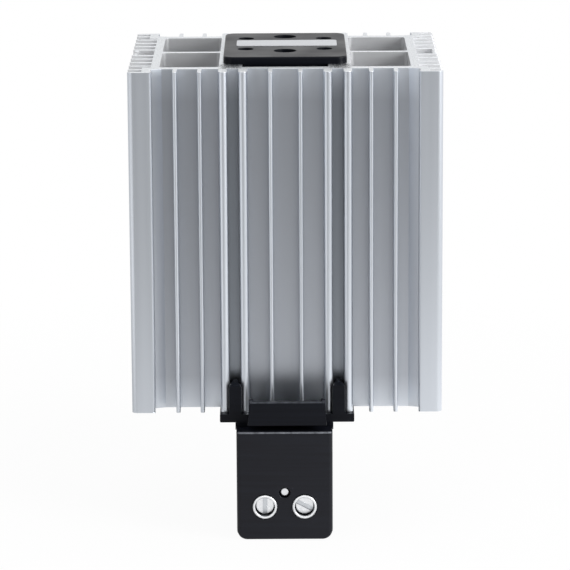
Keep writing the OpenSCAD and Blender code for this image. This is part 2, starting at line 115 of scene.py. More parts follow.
# The wave pattern turns by this many radians in one unit.
WAVE_TURN = 20

Socket = bpy.types.NodeSocket
# Takes the middle and the direction of an edge, and gives the weight of its rounding.
WeightRule = Callable[[Vector, Vector], float]


class Slot(Enum):
    """Material slots of the record."""

    ALUMINIUM = "extruded_aluminium"
    BLACK = "black_plastic"
    LABEL = "label_film"
    STONE = "heating_ceramic"
    SPACER = "white_ceramic"
    ELECTRODE = "electrode_sheet"
    FILM = "amber_film"
    LEAD = "silicone"
    BLOCK = "grey_plastic"
    BRASS = "brass"
    ZINC = "zinc_plated_steel"


class Side(Enum):
    """Left and right of the middle plane, seen from the front."""

    LEFT = -1
    RIGHT = 1


def linear_colour(code: str) -> tuple[float, float, float, float]:
    """Turns an sRGB hex colour into linear light.

    Args:
        code: Six hex digits with a leading hash.

    Returns:
        Linear red, green and blue, and full opacity.
    """
    parts = []
    for value in bytes.fromhex(code[1:]):
        share = value / BYTE_MAX
        curved = ((share + SRGB_OFFSET) / (1.0 + SRGB_OFFSET)) ** SRGB_POWER
        parts.append(share / SRGB_SLOPE if share <= SRGB_KNEE else curved)
    return parts[0], parts[1], parts[2], 1.0


@dataclass
class Graph:
    """A node tree in the making, with the few kinds of node that are used again and again."""

    tree: bpy.types.NodeTree
    # The mix node has sockets of its own for numbers and for colours.
    number_in: ClassVar[tuple[int, int]] = (2, 3)
    number_out: ClassVar[int] = 0
    colour_in: ClassVar[tuple[int, int]] = (6, 7)
    colour_out: ClassVar[int] = 2

    def add(self, kind: str, inputs: dict[str | int, Any] | None = None, **settings: Any) -> bpy.types.Node:
        """Adds a shader node with its settings, values and links.

        Args:
            kind: Blender's name of the node type, without what all shader nodes have in front.
            inputs: What each named or numbered input takes.
            **settings: Properties of the node itself.

        Returns:
            The new node.
        """
        node = self.tree.nodes.new(f"ShaderNode{kind}")
        for name, value in settings.items():
            setattr(node, name, value)
        for name, value in (inputs or {}).items():
            self.feed(node.inputs[name], value)
        return node

    def feed(self, target: Socket, value: Any) -> None:
        """Links an input to a socket, or sets it to a value.

        Args:
            target: The input.
            value: Output socket, hex colour or plain value.
        """
        if isinstance(value, bpy.types.NodeSocket):
            self.tree.links.new(value, target)
        else:
            target.default_value = linear_colour(value) if isinstance(value, str) else value

    def math(self, operation: str, *values: Any, clamp: bool = False) -> Socket:
        """Gives the result of a calculation on numbers."""
        return self.add("Math", dict(enumerate(values)), operation=operation, use_clamp=clamp).outputs[0]

    def vector(self, operation: str, *values: Any) -> Socket:
        """Gives the result of a calculation on vectors."""
        return self.add("VectorMath", dict(enumerate(values)), operation=operation).outputs[0]

    def split(self, vector: Socket) -> list[Socket]:
        """Gives a vector's X, Y and Z."""
        return list(self.add("SeparateXYZ", {"Vector": vector}).outputs)

    def between(self, value: Socket, low: Any, high: Any, start: float = NOISE_WEAK,
                end: float = NOISE_STRONG, soft: bool = False) -> Socket:
        """Stretches a value over a range, and holds it beyond both ends.

        Args:
            value: What is stretched.
            low: Result at the start.
            high: Result at the end.
            start: Value that gives the low result.
            end: Value that gives the high result.
            soft: Whether the change eases in and out.

        Returns:
            The stretched value.
        """
        scaled = self.add("MapRange", {
            "Value": value, "From Min": start, "From Max": end, "To Min": low, "To Max": high})
        scaled.interpolation_type = "SMOOTHSTEP" if soft else "LINEAR"
        return scaled.outputs["Result"]

    def blend(self, share: Socket, first: Any, second: Any) -> Socket:
        """Mixes two numbers by the share of the second."""
        values = dict(zip(self.number_in, (first, second)))
        return self.add("Mix", {"Factor": share, **values}).outputs[self.number_out]

    def tint(self, share: Socket, first: Any, second: Any) -> Socket:
        """Mixes two colours by the share of the second."""
        values = dict(zip(self.colour_in, (first, second)))
        mixed = self.add("Mix", {"Factor": share, **values}, data_type="RGBA")
        return mixed.outputs[self.colour_out]

    def both(self, first: Socket, second: Socket) -> Socket:
        """Gives the share at which two masks hold together."""
        return self.math("MULTIPLY", first, second)

    def within(self, value: Socket, middle_mm: float, half_mm: float) -> Socket:
        """Gives 1 where a value lies within a distance of a middle, and 0 elsewhere."""
        return self.math("COMPARE", value, middle_mm * MM, half_mm * MM)


@dataclass
class Surface(Graph):
    """The nodes of one material: its shader, and patterns laid by the point's place in the object."""

    shader: bpy.types.Node
    place: Socket

    def give(self, name: str, value: Any) -> None:
        """Gives one of the shader's inputs a value or a link."""
        self.feed(self.shader.inputs[name], value)

    def noise(self, step_mm: tuple[float, float, float], detail: float = 3.0) -> Socket:
        """Lays an uneven pattern with a given step along each axis.

        Args:
            step_mm: Length of the pattern along X, Y and Z.
            detail: Number of finer layers.

        Returns:
            Strength of the pattern from 0 to 1.
        """
        scale = tuple(PER_MM / step for step in step_mm)
        spread = self.add("Mapping", {"Vector": self.place, "Scale": scale}).outputs["Vector"]
        return self.add("TexNoise", {"Vector": spread, "Scale": 1.0, "Detail": detail}).outputs["Fac"]

    def relief(self, height: Socket, depth_mm: float) -> None:
        """Gives the surface a fine relief of a given depth."""
        bump = self.add("Bump", {"Height": height, "Distance": depth_mm * MM, "Strength": 1.0})
        self.give("Normal", bump.outputs["Normal"])


@dataclass(frozen=True)
class Finish:
    """What every surface finish has: the material's name and its colour."""

    name: str
    colour: str

    def material(self) -> bpy.types.Material:
        """Makes the material.

        Returns:
            The material with its nodes.
        """
        made = bpy.data.materials.new(self.name)
        made.use_nodes = True
        made.diffuse_color = linear_colour(self.colour)
        shader = next(node for node in made.node_tree.nodes if node.type == "BSDF_PRINCIPLED")
        place = Graph(made.node_tree).add("TexCoord").outputs["Object"]
        surface = Surface(made.node_tree, shader, place)
        surface.give("Base Color", self.colour)
        self.dress(surface)
        return made

    def dress(self, surface: Surface) -> None:
        """Adds this finish's own pattern; each kind of finish has its own."""
        raise NotImplementedError


@dataclass(frozen=True)
class ExtrudedAluminium(Finish):
    """Aluminium as it leaves the die: lines drawn along it, bright outside, with painted shade between the
    fins.
    """

    streak: str = "#D1D6DD"
    # Painted shade between the fins.
    recess_shade_colour: str = "#BABEC5"
    # Deeper painted shade in the grooves between the paired fins.
    groove_shade_colour: str = "#9CA1A8"
    # Painted shade inside the ducts, lighter than the painted shade between the fins.
    duct_shade_colour: str = "#CACBCD"
    # Painted light in the gaps between the side fins.
    gap_light_colour: str = "#DDDEE0"
    middle_mm: float = -39.0
    duct_x_mm: float = 37.5
    duct_y_mm: float = 29.5
    gap_x_mm: float = 45.0
    gap_half_mm: float = 6.6
    gap_y_mm: float = 36.2
    floor_mm: float = 31.5
    tip_mm: float = 36.5
    end_mm: float = 50.0
    # Length below the sawn ends over which the painted shade fades out.
    end_fade_mm: float = 9.5
    groove_x_mm: float = 15.0
    groove_half_mm: float = 1.8
    line_mm: float = 0.5
    line_depth_mm: float = 0.003
    band_mm: float = 6.0
    run_mm: float = 260.0
    smooth: float = 0.34
    dull: float = 0.4
    duct_rough: float = 0.62
    spread: float = 0.3

    def dress(self, surface: Surface) -> None:
        """Draws the die lines along Z, turns the sheen across them and paints shade and light into the
        hollows.

        Args:
            surface: Nodes of the material.
        """
        surface.give("Metallic", 1.0)
        surface.give("Anisotropic", self.spread)
        surface.give("Tangent", surface.add("Tangent", direction_type="RADIAL", axis="Z").outputs["Tangent"])
        lines = surface.noise((self.line_mm, self.line_mm, self.run_mm))
        bands = surface.noise((self.band_mm, self.band_mm, self.run_mm), detail=1.0)
        centred = surface.vector("SUBTRACT", surface.place, (0.0, self.middle_mm * MM, 0.0))
        aside, reach, along = surface.split(surface.vector("ABSOLUTE", centred))
        inner = surface.between(reach, 1.0, 0.0, self.floor_mm * MM, self.tip_mm * MM)
        # Near the sawn ends the painted shade fades out, which paints the ends of the channels lighter.
        off_the_ends = surface.between(along, 1.0, 0.0, (self.end_mm - self.end_fade_mm) * MM, self.end_mm * MM)
        hollow = surface.both(surface.within(aside, 0.0, self.duct_x_mm),
                              surface.within(reach, 0.0, self.duct_y_mm))
        beside = surface.both(surface.within(aside, self.gap_x_mm, self.gap_half_mm),
                              surface.within(reach, 0.0, self.gap_y_mm))
        # The ducts and the side gaps take a painted tone and a roughness of their own instead of the recess
        # shade.
        ducts_and_gaps = surface.math("MAXIMUM", hollow, beside)
        # Painted shade between the fins, fading out near the sawn ends.
        recess_shade = surface.math("SUBTRACT", surface.both(inner, off_the_ends), ducts_and_gaps, clamp=True)
        # Deeper painted shade in the grooves.
        groove_shade = surface.both(recess_shade, surface.within(aside, self.groove_x_mm, self.groove_half_mm))
        skin = surface.tint(surface.between(bands, 0.0, 1.0), self.colour, self.streak)
        # Lays the painted shades and the painted light over the banded metal.
        for mask, colour in ((recess_shade, self.recess_shade_colour), (groove_shade, self.groove_shade_colour), (hollow, self.duct_shade_colour),
                             (beside, self.gap_light_colour)):
            skin = surface.tint(mask, skin, colour)
        surface.give("Base Color", skin)
        satin = surface.between(lines, self.smooth, self.dull)
        surface.give("Roughness", surface.blend(ducts_and_gaps, satin, self.duct_rough))
        surface.relief(lines, self.line_depth_mm)


@dataclass(frozen=True)
class SawnAluminium(Finish):
    """The cut ends of the profile: bright, with the blade's arcs, torn specks between them and painted shade
    of the cap in two corners.
    """

    torn: str = "#AEB2B8"
    saw_pitch_mm: float = 0.9
    saw_radius_mm: float = 160.0
    saw_slant: float = 1 / 3
    saw_waver: float = 1.5
    saw_detail: float = 2.0
    saw_depth_mm: float = 0.012
    speck_mm: float = 0.55
    speck_share: float = 0.7
    speck_from: float = 0.5
    speck_to: float = 0.68
    # Painted shade of the cap, laid as dark specks over the rough sawn metal in the two corners in front of
    # it.
    cap_shade: str = "#3C3F44"
    cap_shade_mm: tuple[float, float, float] = (0.5, 1.0, 0.5)
    cap_shade_x_mm: float = 15.9
    cap_shade_y_mm: float = -66.2
    cap_shade_half_x_mm: float = 3.6
    cap_shade_half_y_mm: float = 5.0
    cap_shade_core: float = 0.65
    cap_shade_share: float = 0.92
    cap_shade_from: float = 0.42
    cap_shade_to: float = 0.53
    smooth: float = 0.3
    dull: float = 0.45

    def dress(self, surface: Surface) -> None:
        """Draws the arcs of the saw, the specks and the painted shade of the cap.

        Args:
            surface: Nodes of the material.
        """
        surface.give("Metallic", 1.0)
        specks = surface.noise((self.speck_mm,) * 3, detail=2.0)
        hub = (self.saw_radius_mm, self.saw_slant * self.saw_radius_mm, 0.0)
        blade = surface.add("Mapping", {"Vector": surface.place, "Location": hub, "Scale": (PER_MM,) * 3})
        arcs = surface.add("TexWave", {
            "Vector": blade.outputs["Vector"], "Scale": math.tau / WAVE_TURN / self.saw_pitch_mm,
            "Distortion": self.saw_waver, "Detail": self.saw_detail},
            wave_type="RINGS", rings_direction="Z").outputs["Fac"]
        torn = surface.between(specks, 0.0, self.speck_share, self.speck_from, self.speck_to)
        worn = surface.tint(torn, self.colour, self.torn)
        # Painted shade of the cap goes over the specked metal.
        surface.give("Base Color", surface.tint(self.cap_shade_specks(surface), worn, self.cap_shade))
        surface.give("Roughness", surface.between(specks, self.smooth, self.dull))
        surface.relief(surface.math("ADD", arcs, specks), self.saw_depth_mm)

    def cap_shade_specks(self, surface: Surface) -> Socket:
        """Lays the painted shade of the cap as dark specks over the rough metal in the two corners in front
        of it.

        Args:
            surface: Nodes of the material.

        Returns:
            Share of painted shade, 0 outside the corners.
        """
        across, back, _ = surface.split(surface.place)
        aside = surface.math("ABSOLUTE", across)
        shares = []
        for value, middle, half in ((aside, self.cap_shade_x_mm, self.cap_shade_half_x_mm),
                                    (back, self.cap_shade_y_mm, self.cap_shade_half_y_mm)):
            apart = surface.math("ABSOLUTE", surface.math("SUBTRACT", value, middle * MM))
            shares.append(surface.between(apart, 1.0, 0.0, self.cap_shade_core * half * MM, half * MM))
        grain = surface.noise(self.cap_shade_mm)
        dark = surface.between(grain, 0.0, self.cap_shade_share, self.cap_shade_from, self.cap_shade_to)
        return surface.both(surface.both(*shares), dark)


@dataclass(frozen=True)
class MouldedPlastic(Finish):
    """Glass-filled plastic from a spark-eroded mould: fine even grain, faint flow marks, low sheen."""

    pale: str = "#13161E"
    sheen: float = 0.13
    grain_mm: float = 0.35
    grain_depth_mm: float = 0.006
    flow_mm: tuple[float, float, float] = (30.0, 30.0, 0.9)
    flow_share: float = 0.5
    flow_from: float = 0.35
    flow_to: float = 0.75
    cloud_mm: float = 12.0
    smooth: float = 0.34
    dull: float = 0.46
    # Painted highlight along given edges, each given by its place back and its height.
    edge_highlight: str = "#7A7D84"
    highlight_edges: tuple[tuple[float, float], ...] = ()
    highlight_reach_mm: float = 0.4
    highlight_patch_mm: float = 1.5
    highlight_least: float = 0.35

    def dress(self, surface: Surface) -> None:
        """Adds grain, level flow marks, soft clouds in the sheen and painted highlights along given edges,
        in patches.

        Args:
            surface: Nodes of the material.
        """
        surface.give("Specular IOR Level", self.sheen)
        grain = surface.noise((self.grain_mm,) * 3)
        flow = surface.noise(self.flow_mm, detail=2.0)
        cloud = surface.noise((self.cloud_mm,) * 3, detail=2.0)
        tone = surface.between(flow, 0.0, self.flow_share, self.flow_from, self.flow_to)
        skin = surface.tint(tone, self.colour, self.pale)
        _, back, up = surface.split(surface.place)
        patchy = surface.between(surface.noise((self.highlight_patch_mm,) * 3), self.highlight_least, 1.0)
        # A painted highlight along each given edge, broken into patches.
        for back_mm, up_mm in self.highlight_edges:
            edge = surface.both(surface.within(back, back_mm, self.highlight_reach_mm),
                                surface.within(up, up_mm, self.highlight_reach_mm))
            skin = surface.tint(surface.both(edge, patchy), skin, self.edge_highlight)
        surface.give("Base Color", skin)
        surface.give("Roughness", surface.between(cloud, self.smooth, self.dull))
        surface.relief(grain, self.grain_depth_mm)


@dataclass(frozen=True)
class GrainedSolid(Finish):
    """A solid whose grain shows in colour, gloss and relief."""

    shade: str = "#B9BDC2"
    share: float = 0.35
    grain_mm: tuple[float, float, float] = (0.6, 0.6, 0.6)
    grain_detail: float = 3.0
    depth_mm: float = 0.003
    metallic: float = 1.0
    smooth: float = 0.2
    dull: float = 0.34

    def dress(self, surface: Surface) -> None:
        """Adds the grain to colour, gloss and relief.

        Args:
            surface: Nodes of the material.
        """
        surface.give("Metallic", self.metallic)
        grain = surface.noise(self.grain_mm, self.grain_detail)
        surface.give("Base Color", self.skin(surface, grain))
        surface.give("Roughness", surface.between(grain, self.smooth, self.dull))
        surface.relief(grain, self.depth_mm)

    def skin(self, surface: Surface, grain: Socket) -> Socket:
        """Gives the colour with the shade worked in along the grain."""
        return surface.tint(surface.between(grain, 0.0, self.share), self.colour, self.shade)


@dataclass(frozen=True)
class PlainMetal(GrainedSolid):
    """Plated, drawn or rolled metal: small changes of gloss and tone along its grain."""


@dataclass(frozen=True)
class SunkMetal(PlainMetal):
    """Plated metal with painted shade on the surfaces that lie behind the front."""

    sunk_shade: str = "#54585D"
    front_mm: float = 0.0
    fade_mm: float = 0.5

    def skin(self, surface: Surface, grain: Socket) -> Socket:
        """Gives the colour with painted shade behind the front.

        Args:
            surface: Nodes of the material.
            grain: Strength of the grain.

        Returns:
            The colour.
        """
        _, back, _ = surface.split(surface.place)
        # Painted shade on what lies behind the front.
        sunk = surface.between(back, 0.0, 1.0, self.front_mm * MM, (self.front_mm + self.fade_mm) * MM)
        return surface.tint(sunk, super().skin(surface, grain), self.sunk_shade)


@dataclass(frozen=True)
class SoftSolid(GrainedSolid):
    """Ceramic, film or rubber: a fine speckle and no mirror."""

    share: float = 0.4
    grain_mm: tuple[float, float, float] = (0.5, 0.5, 0.5)
    grain_detail: float = 4.0
    depth_mm: float = 0.004
    metallic: float = 0.0
    smooth: float = 0.45
    dull: float = 0.6


# Bright zinc on steel: pale bluish white with small crystals.
ZINC_LOOK = {"colour": "#F3F4F6", "shade": "#E2E5EA", "grain_mm": (1.2, 1.2, 1.2), "depth_mm": 0.001,
             "smooth": 0.26, "dull": 0.36}

FINISHES: dict[Slot, Finish] = {
    # Aluminium alloy straight from the press: a satin grey that mirrors softly, more so along its length.
    Slot.ALUMINIUM: ExtrudedAluminium("extruded_aluminium_satin", "#DDE2E9"),
    # Black glass-filled polyamide from an eroded mould: nearly black, slightly blue, with a low even sheen.
    # A painted highlight runs along the top front edge of the lip.
    Slot.BLACK: MouldedPlastic("moulded_black_polyamide", "#0A0C13", edge_highlight="#4E5158",
                               highlight_edges=((-85.2, -44.6),)),
    # Label film left bare: pale and slightly silky.
    Slot.LABEL: SoftSolid("bare_silver_polyester_film", "#CCCED2", "#C0C3C8", smooth=0.35, dull=0.5),
    # Fired heating ceramic with metallised faces: dull warm grey with fine pores.
    Slot.STONE: SoftSolid("fired_heating_ceramic", "#7C776E", "#5B5750", share=0.7, grain_mm=(0.4, 0.4, 0.4),
                          depth_mm=0.01, smooth=0.6, dull=0.8),
    # Fired alumina: off-white and matt.
    Slot.SPACER: SoftSolid("fired_alumina", "#E9E3D6", "#D5CDBD", grain_mm=(0.6, 0.6, 0.6), depth_mm=0.006),
    # Rolled aluminium sheet: grain drawn along the strip.
    Slot.ELECTRODE: PlainMetal("rolled_aluminium_sheet", "#C8CBD0", grain_mm=(0.4, 0.4, 40.0)),
    # Polyimide film: clear amber that looks orange-brown in layers.
    Slot.FILM: SoftSolid("amber_polyimide_film", "#B5731C", "#8E5512", share=0.5, grain_mm=(8.0, 8.0, 8.0),
                         depth_mm=0.002, smooth=0.18, dull=0.3),
    # Silicone rubber round a stranded lead: matt brick red.
    Slot.LEAD: SoftSolid("silicone_lead_sleeve", "#A83A2C", "#8F2E22", share=0.5, grain_mm=(0.8, 0.8, 0.8),
                         depth_mm=0.01, smooth=0.5, dull=0.65),
    # Light grey moulding compound of the terminal block.
    Slot.BLOCK: MouldedPlastic("moulded_grey_polyamide", "#CBCBC6", "#D8D8D3"),
    # Drawn brass bar, milled to length: warm yellow with lines along it.
    Slot.BRASS: PlainMetal("drawn_brass_bar", "#C9A255", "#B08A41", grain_mm=(0.4, 12.0, 0.4)),
    # Zinc on what lies open, such as the clip and the pin.
    Slot.ZINC: PlainMetal("bright_zinc_on_steel", **ZINC_LOOK),
}

# The same zinc on the parts sunk in the cover: clean in front, with painted shade in the cups and in the
# slots.
CUP_ZINC = SunkMetal("zinc_cup_with_painted_shade", **ZINC_LOOK, sunk_shade="#33363A", front_mm=-85.0)
HEAD_ZINC = SunkMetal("zinc_head_with_painted_shade", **ZINC_LOOK, sunk_shade="#C6CACF", front_mm=-83.3)
# Freshly sawn aluminium: nearly white where it catches the light, with arcs, small torn specks and painted
# shade of the cap in two corners.
SAWN_END = SawnAluminium("sawn_aluminium_end", "#DDE0E3")
# The cover's own mould was eroded coarser than the base's, so the cover looks a little lighter.
# A painted highlight runs along the top front edge of the cover.
COVER_SKIN = MouldedPlastic("grained_black_polyamide", "#0D0E16", "#171A23", sheen=0.25,
                            highlight_edges=((-85.0, -53.7),))


def evenly(_middle: Vector, _along: Vector) -> float:
    """Gives every edge full weight."""
    return 1.0


@dataclass
class EdgeRuns:
    """Runs of sharp edges on a mesh, and how wide each run can be rounded before a face folds over."""

    mesh: bpy.types.Mesh
    sharp_deg: float
    width_mm: float
    room_share: float = 0.45
    straight_on: float = -0.85
    least: float = 0.2

    def outlines(self) -> Iterator[tuple[Vector, list[int], list[Vector]]]:
        """Goes round every face.

        Yields:
            Its normal, its edges in turn and the corner at which each edge starts.
        """
        for face in self.mesh.polygons:
            loops = [self.mesh.loops[index] for index in face.loop_indices]
            edges = [loop.edge_index for loop in loops]
            yield face.normal, edges, [self.mesh.vertices[loop.vertex_index].co for loop in loops]

    def corners(self) -> list[tuple[int, int, float]]:
        """Finds every corner of every face.

        Returns:
            The two edges that meet at each corner, and the cosine of the angle between them.
        """
        found = []
        for _normal, edges, spots in self.outlines():
            for turn, after in enumerate(spots):
                here = spots[turn - 1]
                back = (spots[turn - 2] - here).normalized()
                ahead = (after - here).normalized()
                found.append((edges[turn - 2], edges[turn - 1], back.dot(ahead)))
        return found

    def sharp(self) -> set[int]:
        """Finds the edges that stand out sharply.

        Returns:
            Numbers of the edges whose two faces turn away from each other by more than the limit.
        """
        sides: dict[int, list[tuple[Vector, Vector]]] = {}
        for normal, edges, spots in self.outlines():
            for turn, edge in enumerate(edges):
                inward = normal.cross(spots[(turn + 1) % len(spots)] - spots[turn])
                sides.setdefault(edge, []).append((normal, inward))
        limit = math.radians(self.sharp_deg)
        found = set()
        for edge, pair in sides.items():
            if len(pair) != 2:
                continue
            (first, inward), (second, _) = pair
            if first.angle(second, 0.0) > limit and second.dot(inward) < 0.0:
                found.add(edge)
        return found

    def weigh(self, rule: WeightRule) -> dict[int, float]:
        """Gives each run the least weight that the rule and the room beside it allow, or none.

        Args:
            rule: Gives the wanted weight for an edge's middle and its direction.

        Returns:
            Weight of each edge that is rounded.
        """
        ends = [[self.mesh.vertices[corner].co for corner in edge.vertices] for edge in self.mesh.edges]
        runs = [second - first for first, second in ends]
        wanted = {}
        for edge in self.sharp():
            first, second = ends[edge]
            wanted[edge] = rule((first + second) / 2, runs[edge].normalized())
        corners = self.corners()
        while True:
            weights = dict(wanted)
            joined: dict[int, set[int]] = {edge: set() for edge in wanted}
            for first, second, cosine in corners:
                if first in wanted and second in wanted and cosine < self.straight_on:
                    joined[first].add(second)
                    joined[second].add(first)
                    continue
                room = self.room_share * math.sqrt(max(0.0, 1.0 - cosine * cosine)) / (self.width_mm * MM)
                for edge, other in ((first, second), (second, first)):
                    if edge in wanted:
                        weights[edge] = min(weights[edge], room * runs[other].length)
            self.level(weights, joined)
            kept = {edge: weight for edge, weight in wanted.items() if weights[edge] > self.least * weight}
            if len(kept) == len(wanted):
                return weights
            wanted = kept

    def level(self, weights: dict[int, float], joined: dict[int, set[int]]) -> None:
        """Gives every edge of a run the least weight found along it.

        Args:
            weights: Weight of each edge, changed in place.
            joined: Edges that carry straight on from each edge.
        """
        waiting = set(weights)
        while waiting:
            run = {waiting.pop()}
            fresh = set(run)
            while fresh:
                fresh = set().union(*(joined[edge] for edge in fresh)) - run
                run |= fresh
            waiting -= run
            weights.update(dict.fromkeys(run, min(weights[edge] for edge in run)))


@dataclass
class Workshop:
    """Holds the loaded frame and the materials, and does what every piece needs."""

    frame: dict[str, Any]
    materials: dict[Slot, bpy.types.Material]
    merge_mm: float = 0.002
    flat_deg: float = 0.5
    soft_deg: float = 50.0

    def take_hold(self, piece: bpy.types.Object) -> None:
        """Deselects everything and makes one piece the selected, active one.

        Args:
            piece: The piece.
        """
        bpy.ops.object.select_all(action="DESELECT")
        piece.select_set(True)
        bpy.context.view_layer.objects.active = piece

    def copy_of(self, node: str, name: str) -> bpy.types.Object:
        """Copies a CAD node, joins its loose triangles and clears the edges inside flat faces.

        Args:
            node: Name of the CAD node.
            name: Name of the new piece.

        Returns:
            The new piece, active and in object mode.
        """
        mesh = self.frame["nodes"][node].data.copy()
        mesh.name = name
        mesh.materials.clear()
        piece = bpy.data.objects.new(name, mesh)
        bpy.context.scene.collection.objects.link(piece)
        self.take_hold(piece)
        bpy.ops.mesh.customdata_custom_splitnormals_clear()
        bpy.ops.object.mode_set(mode="EDIT")
        bpy.ops.mesh.select_all(action="SELECT")
        bpy.ops.mesh.remove_doubles(threshold=self.merge_mm * MM)
        bpy.ops.mesh.dissolve_limited(angle_limit=math.radians(self.flat_deg))
        bpy.ops.object.mode_set(mode="OBJECT")
        return piece

    def round_edges(self, piece: bpy.types.Object, width_mm: float, segments: int = 2,
                    rule: WeightRule = evenly, sharp_deg: float = 40.0) -> None:
        """Rounds the sharp edges of a piece and smooths its shading.

        Args:
            piece: The piece.
            width_mm: Width of the rounding at full weight.
            segments: Number of facets of the rounding.
            rule: Weight of each edge where there is room for it.
            sharp_deg: Angle above which an edge is rounded.
        """
        self.take_hold(piece)
        weights = piece.data.attributes.new("bevel_weight_edge", "FLOAT", "EDGE")
        for index, weight in EdgeRuns(piece.data, sharp_deg, width_mm).weigh(rule).items():
            weights.data[index].value = weight
        edge = piece.modifiers.new("edge", "BEVEL")
        edge.width = width_mm * MM
        edge.segments = segments
        edge.limit_method = "WEIGHT"
        edge.use_clamp_overlap = False
        bpy.ops.object.modifier_apply(modifier=edge.name)
        self.smooth(piece, min(sharp_deg, self.soft_deg))

    def smooth(self, piece: bpy.types.Object, angle_deg: float) -> None:
        """Shades a piece smooth across its roundings and keeps its flat faces flat.

        Args:
            piece: The piece.
            angle_deg: Angle above which an edge stays sharp.
        """
        self.take_hold(piece)
        bpy.ops.object.shade_smooth_by_angle(angle=math.radians(angle_deg))
        level = piece.modifiers.new("level", "WEIGHTED_NORMAL")
        level.keep_sharp = True
        bpy.ops.object.modifier_apply(modifier=level.name)

    def finish(self, piece: bpy.types.Object, slot: Slot, *nodes: str) -> None:
        """Gives a new piece its material and body, and hides the CAD nodes that it stands for.

        Args:
            piece: The new piece.
            slot: Material slot that it belongs to.
            *nodes: CAD nodes that it stands for.
        """
        piece.data.materials.clear()
        piece.data.materials.append(self.materials[slot])
        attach(piece, BODY)
        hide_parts(*nodes)
        LOG.info("%s: %d faces", piece.name, len(piece.data.polygons))

    def dress_node(self, node: str, slot: Slot) -> None:
        """Gives a CAD node that stays its finished material.

        Args:
            node: Name of the CAD node.
            slot: Material slot that it belongs to.
        """
        self.frame["nodes"][node].data.materials.clear()
        self.frame["nodes"][node].data.materials.append(self.materials[slot])
        LOG.info("%s: kept, %s", node, slot.value)


@dataclass
class HeatSink:
    """The extruded profile, with its edges just broken as a saw and a brush leave them."""

    shop: Workshop
    plate_edge_mm: float = 0.7
    other_share: float = 0.17
    plate_inset_mm: float = 6.8
    near_mm: float = 0.2
    corner_deg: float = 18.0
    end_normal: float = 0.7

    def build(self) -> None:
        """Copies the profile, breaks its edges and gives the sawn ends their own finish."""
        low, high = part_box("heat_sink")

        def weight(middle: Vector, along: Vector) -> float:
            """Gives the inner edges of the corner plates full weight and every other edge a share.

            Args:
                middle: Middle of the edge.
                along: Its direction.

            Returns:
                Weight of the edge.
            """
            inset = min(middle.x - low.x, high.x - middle.x) * PER_MM - self.plate_inset_mm
            deep = min(middle.y - low.y, high.y - middle.y) * PER_MM
            plate = abs(inset) < self.near_mm and deep < self.near_mm and abs(along.z) > self.end_normal
            return 1.0 if plate else self.other_share

        piece = self.shop.copy_of("heat_sink", "finned_profile")
        self.shop.round_edges(piece, self.plate_edge_mm, segments=3, rule=weight,
                              sharp_deg=self.corner_deg)
        self.shop.finish(piece, Slot.ALUMINIUM, "heat_sink")
        self.dress_ends(piece)

    def dress_ends(self, piece: bpy.types.Object) -> None:
        """Gives the faces that look up and down the sawn finish.

        Args:
            piece: The dressed profile.
        """
        self.shop.take_hold(piece)
        piece.data.materials.append(SAWN_END.material())
        piece.active_material_index = len(piece.data.materials) - 1
        bpy.ops.object.mode_set(mode="EDIT")
        bpy.ops.mesh.select_mode(type="FACE")
        bpy.ops.mesh.select_all(action="DESELECT")
        bpy.ops.object.mode_set(mode="OBJECT")
        for face in piece.data.polygons:
            face.select = abs(face.normal.z) > self.end_normal
        bpy.ops.object.mode_set(mode="EDIT")
        bpy.ops.object.material_slot_assign()
        bpy.ops.object.mode_set(mode="OBJECT")


@dataclass
class TopCap:
    """The moulded cap with its holes and its bare label."""

    shop: Workshop
    rim_mm: float = 0.5
    hole_share: float = 0.4
    rim_reach_mm: float = 2.6
    near_mm: float = 0.1

    def build(self) -> None:
        """Copies the cap, rounds its rim fully and its holes less."""
        low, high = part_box("top_cap")
        reach = self.rim_reach_mm * MM

        def weight(middle: Vector, _along: Vector) -> float:
            """Gives the upper rim full weight, the holes inside it a share and what lies below nothing.

            Args:
                middle: Middle of the edge.
                _along: Its direction, not used.

            Returns:
                Weight of the edge.
            """
            inset = min(middle.x - low.x, high.x - middle.x, middle.y - low.y, high.y - middle.y)
            share = 1.0 if inset < reach else self.hole_share
            return share if high.z - middle.z < self.near_mm * MM else 0.0

        piece = self.shop.copy_of("top_cap", "cap_plate")
        self.shop.round_edges(piece, self.rim_mm, segments=3, rule=weight)
        self.shop.finish(piece, Slot.BLACK, "top_cap")
        self.shop.dress_node("label_strip", Slot.LABEL)


